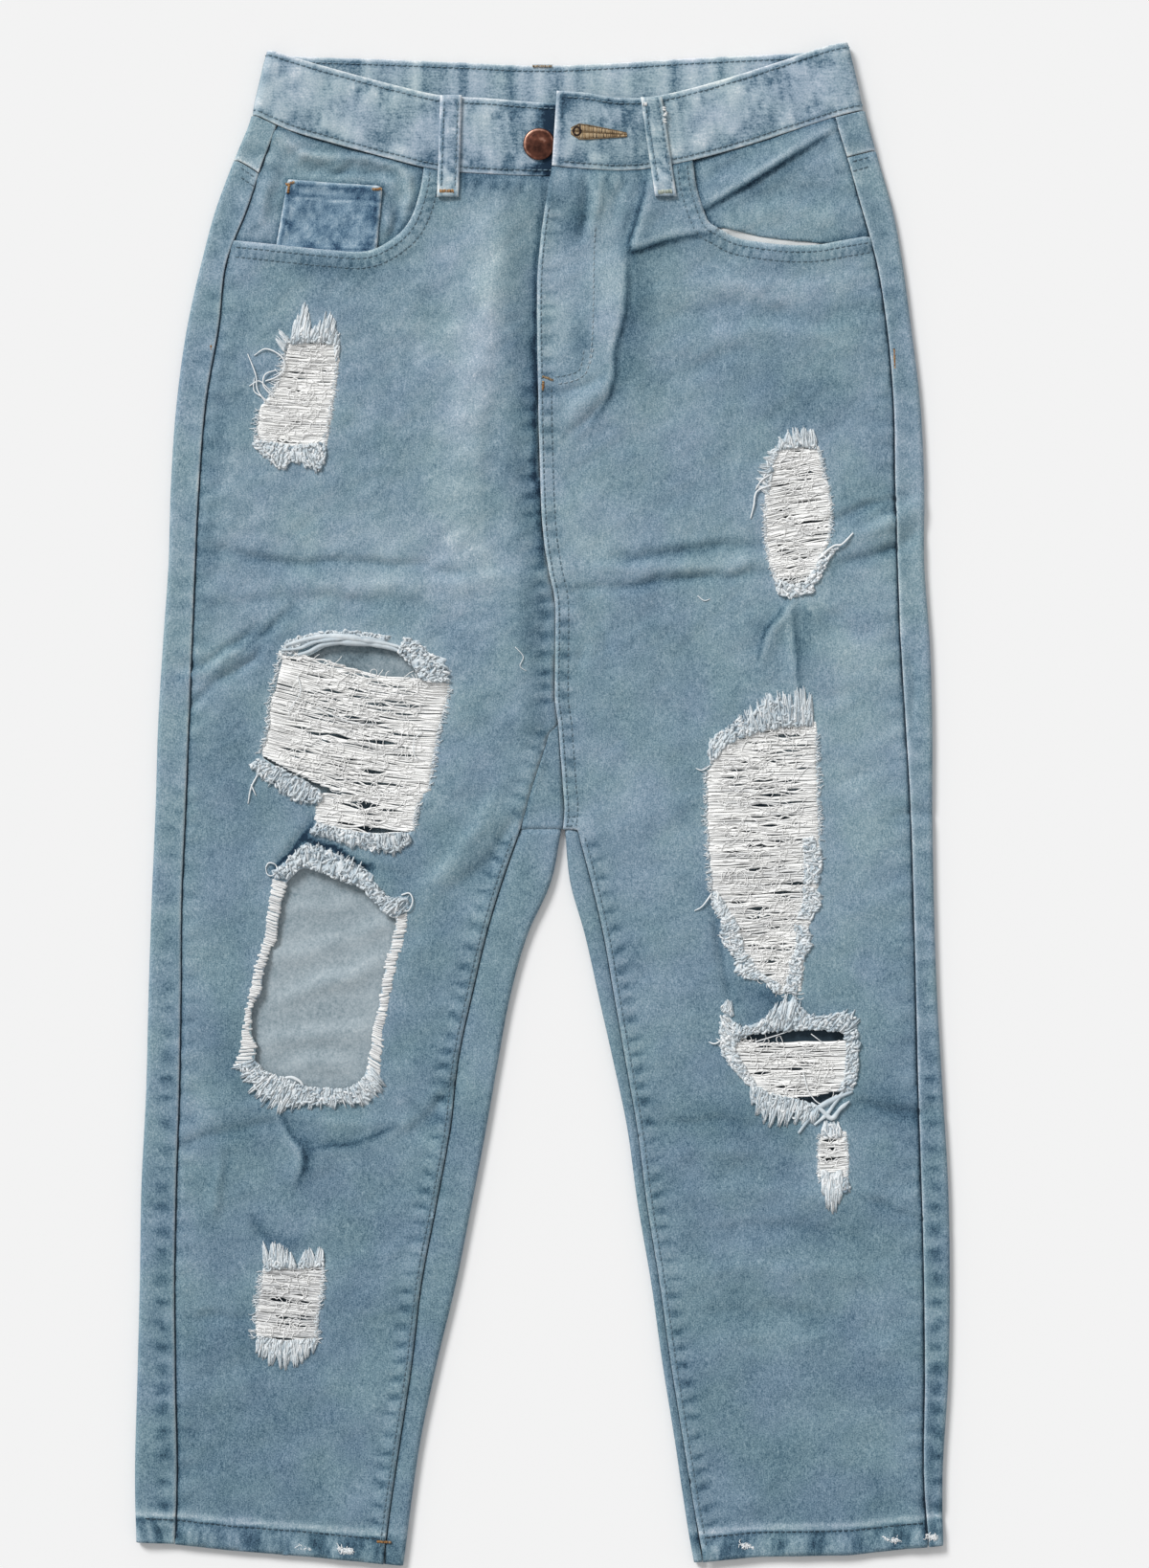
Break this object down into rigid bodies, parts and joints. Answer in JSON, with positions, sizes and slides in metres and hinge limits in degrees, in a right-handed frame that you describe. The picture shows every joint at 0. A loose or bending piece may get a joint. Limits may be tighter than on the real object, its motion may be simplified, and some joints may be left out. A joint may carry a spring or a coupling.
{
  "type": "ripped jeans",
  "caption": "Washed blue five-pocket jeans with frayed rips, laid flat on their back with the fly unbuttoned.",
  "frame": {"origin": "middle of the laid garment's outline, on the surface that it lies on", "axes": "+X to the wearer's left side, +Y up the garment to the waist, +Z away from the surface, out of the front"},
  "size_m": [0.5099, 0.9533, 0.0117],
  "materials": {
    "indigo_denim": "washed indigo denim, matte twill with pale slubs",
    "waistband_denim": "faded indigo denim, matte, pale on its edges",
    "bared_weft": "bare white cotton weft, matte and fuzzy",
    "pocket_lining": "plain white cotton, matte",
    "button_copper": "dark antique copper, satin"
  },
  "bodies": {
    "root": {"front_right": "indigo_denim", "front_left": "indigo_denim", "back_right": "indigo_denim", "back_left": "indigo_denim", "yoke_right": "indigo_denim", "yoke_left": "indigo_denim", "pocket_facing_right": "indigo_denim", "pocket_facing_left": "indigo_denim", "coin_pocket": "indigo_denim", "back_pocket_right": "indigo_denim", "back_pocket_left": "indigo_denim", "waistband": "waistband_denim", "belt_loop_front_right": "waistband_denim", "belt_loop_front_left": "waistband_denim", "belt_loop_back_right": "waistband_denim", "belt_loop_centre_back": "waistband_denim", "belt_loop_back_left": "waistband_denim", "yarns_hip_right": "bared_weft", "yarns_thigh_right": "bared_weft", "yarns_shin_right": "bared_weft", "yarns_thigh_left": "bared_weft", "yarns_long_left": "bared_weft", "yarns_knee_left": "bared_weft", "yarns_calf_left": "bared_weft", "pocket_lining_left": "pocket_lining", "button": "button_copper"}
  },
  "joints": []
}
